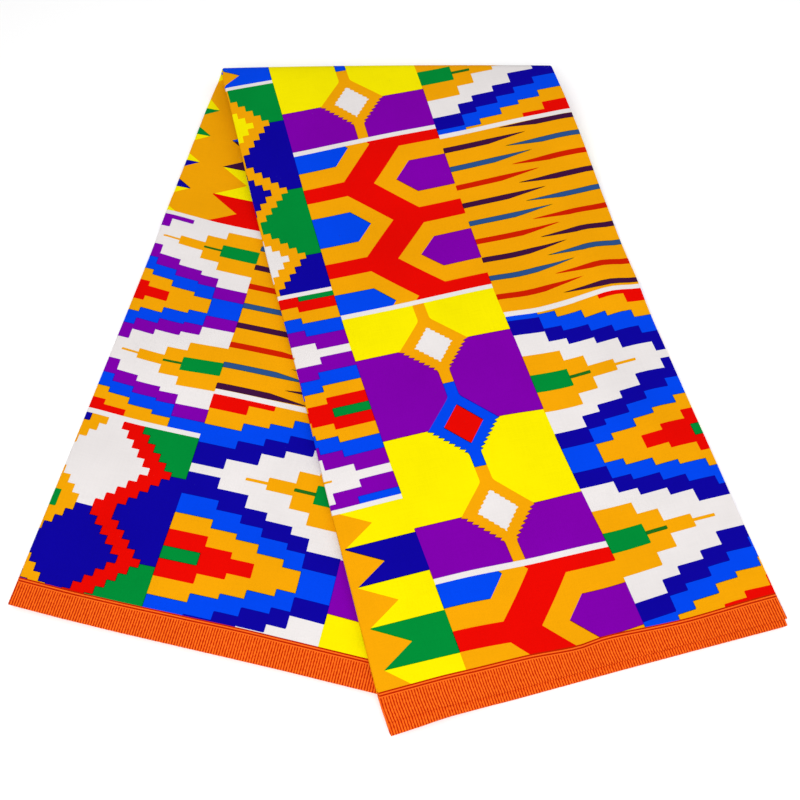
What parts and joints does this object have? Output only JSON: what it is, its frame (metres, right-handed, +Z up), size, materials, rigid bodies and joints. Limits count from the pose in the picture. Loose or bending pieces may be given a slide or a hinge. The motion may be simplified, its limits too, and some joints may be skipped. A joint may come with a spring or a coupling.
{
  "type": "folded wax print fabric",
  "caption": "Printed cotton cloth pleated lengthwise into a strip and folded once across, its two legs splayed, lying flat on a surface.",
  "frame": {"origin": "middle of the cloth's footprint, at the surface that it lies on", "axes": "+X along the fold, to the right; +Y towards the fold, away from the two ends; +Z up"},
  "size_m": [0.5328, 0.5956, 0.0215],
  "materials": {
    "cotton": "matte"
  },
  "bodies": {
    "root": {"folded_cloth": "cotton"}
  },
  "joints": []
}
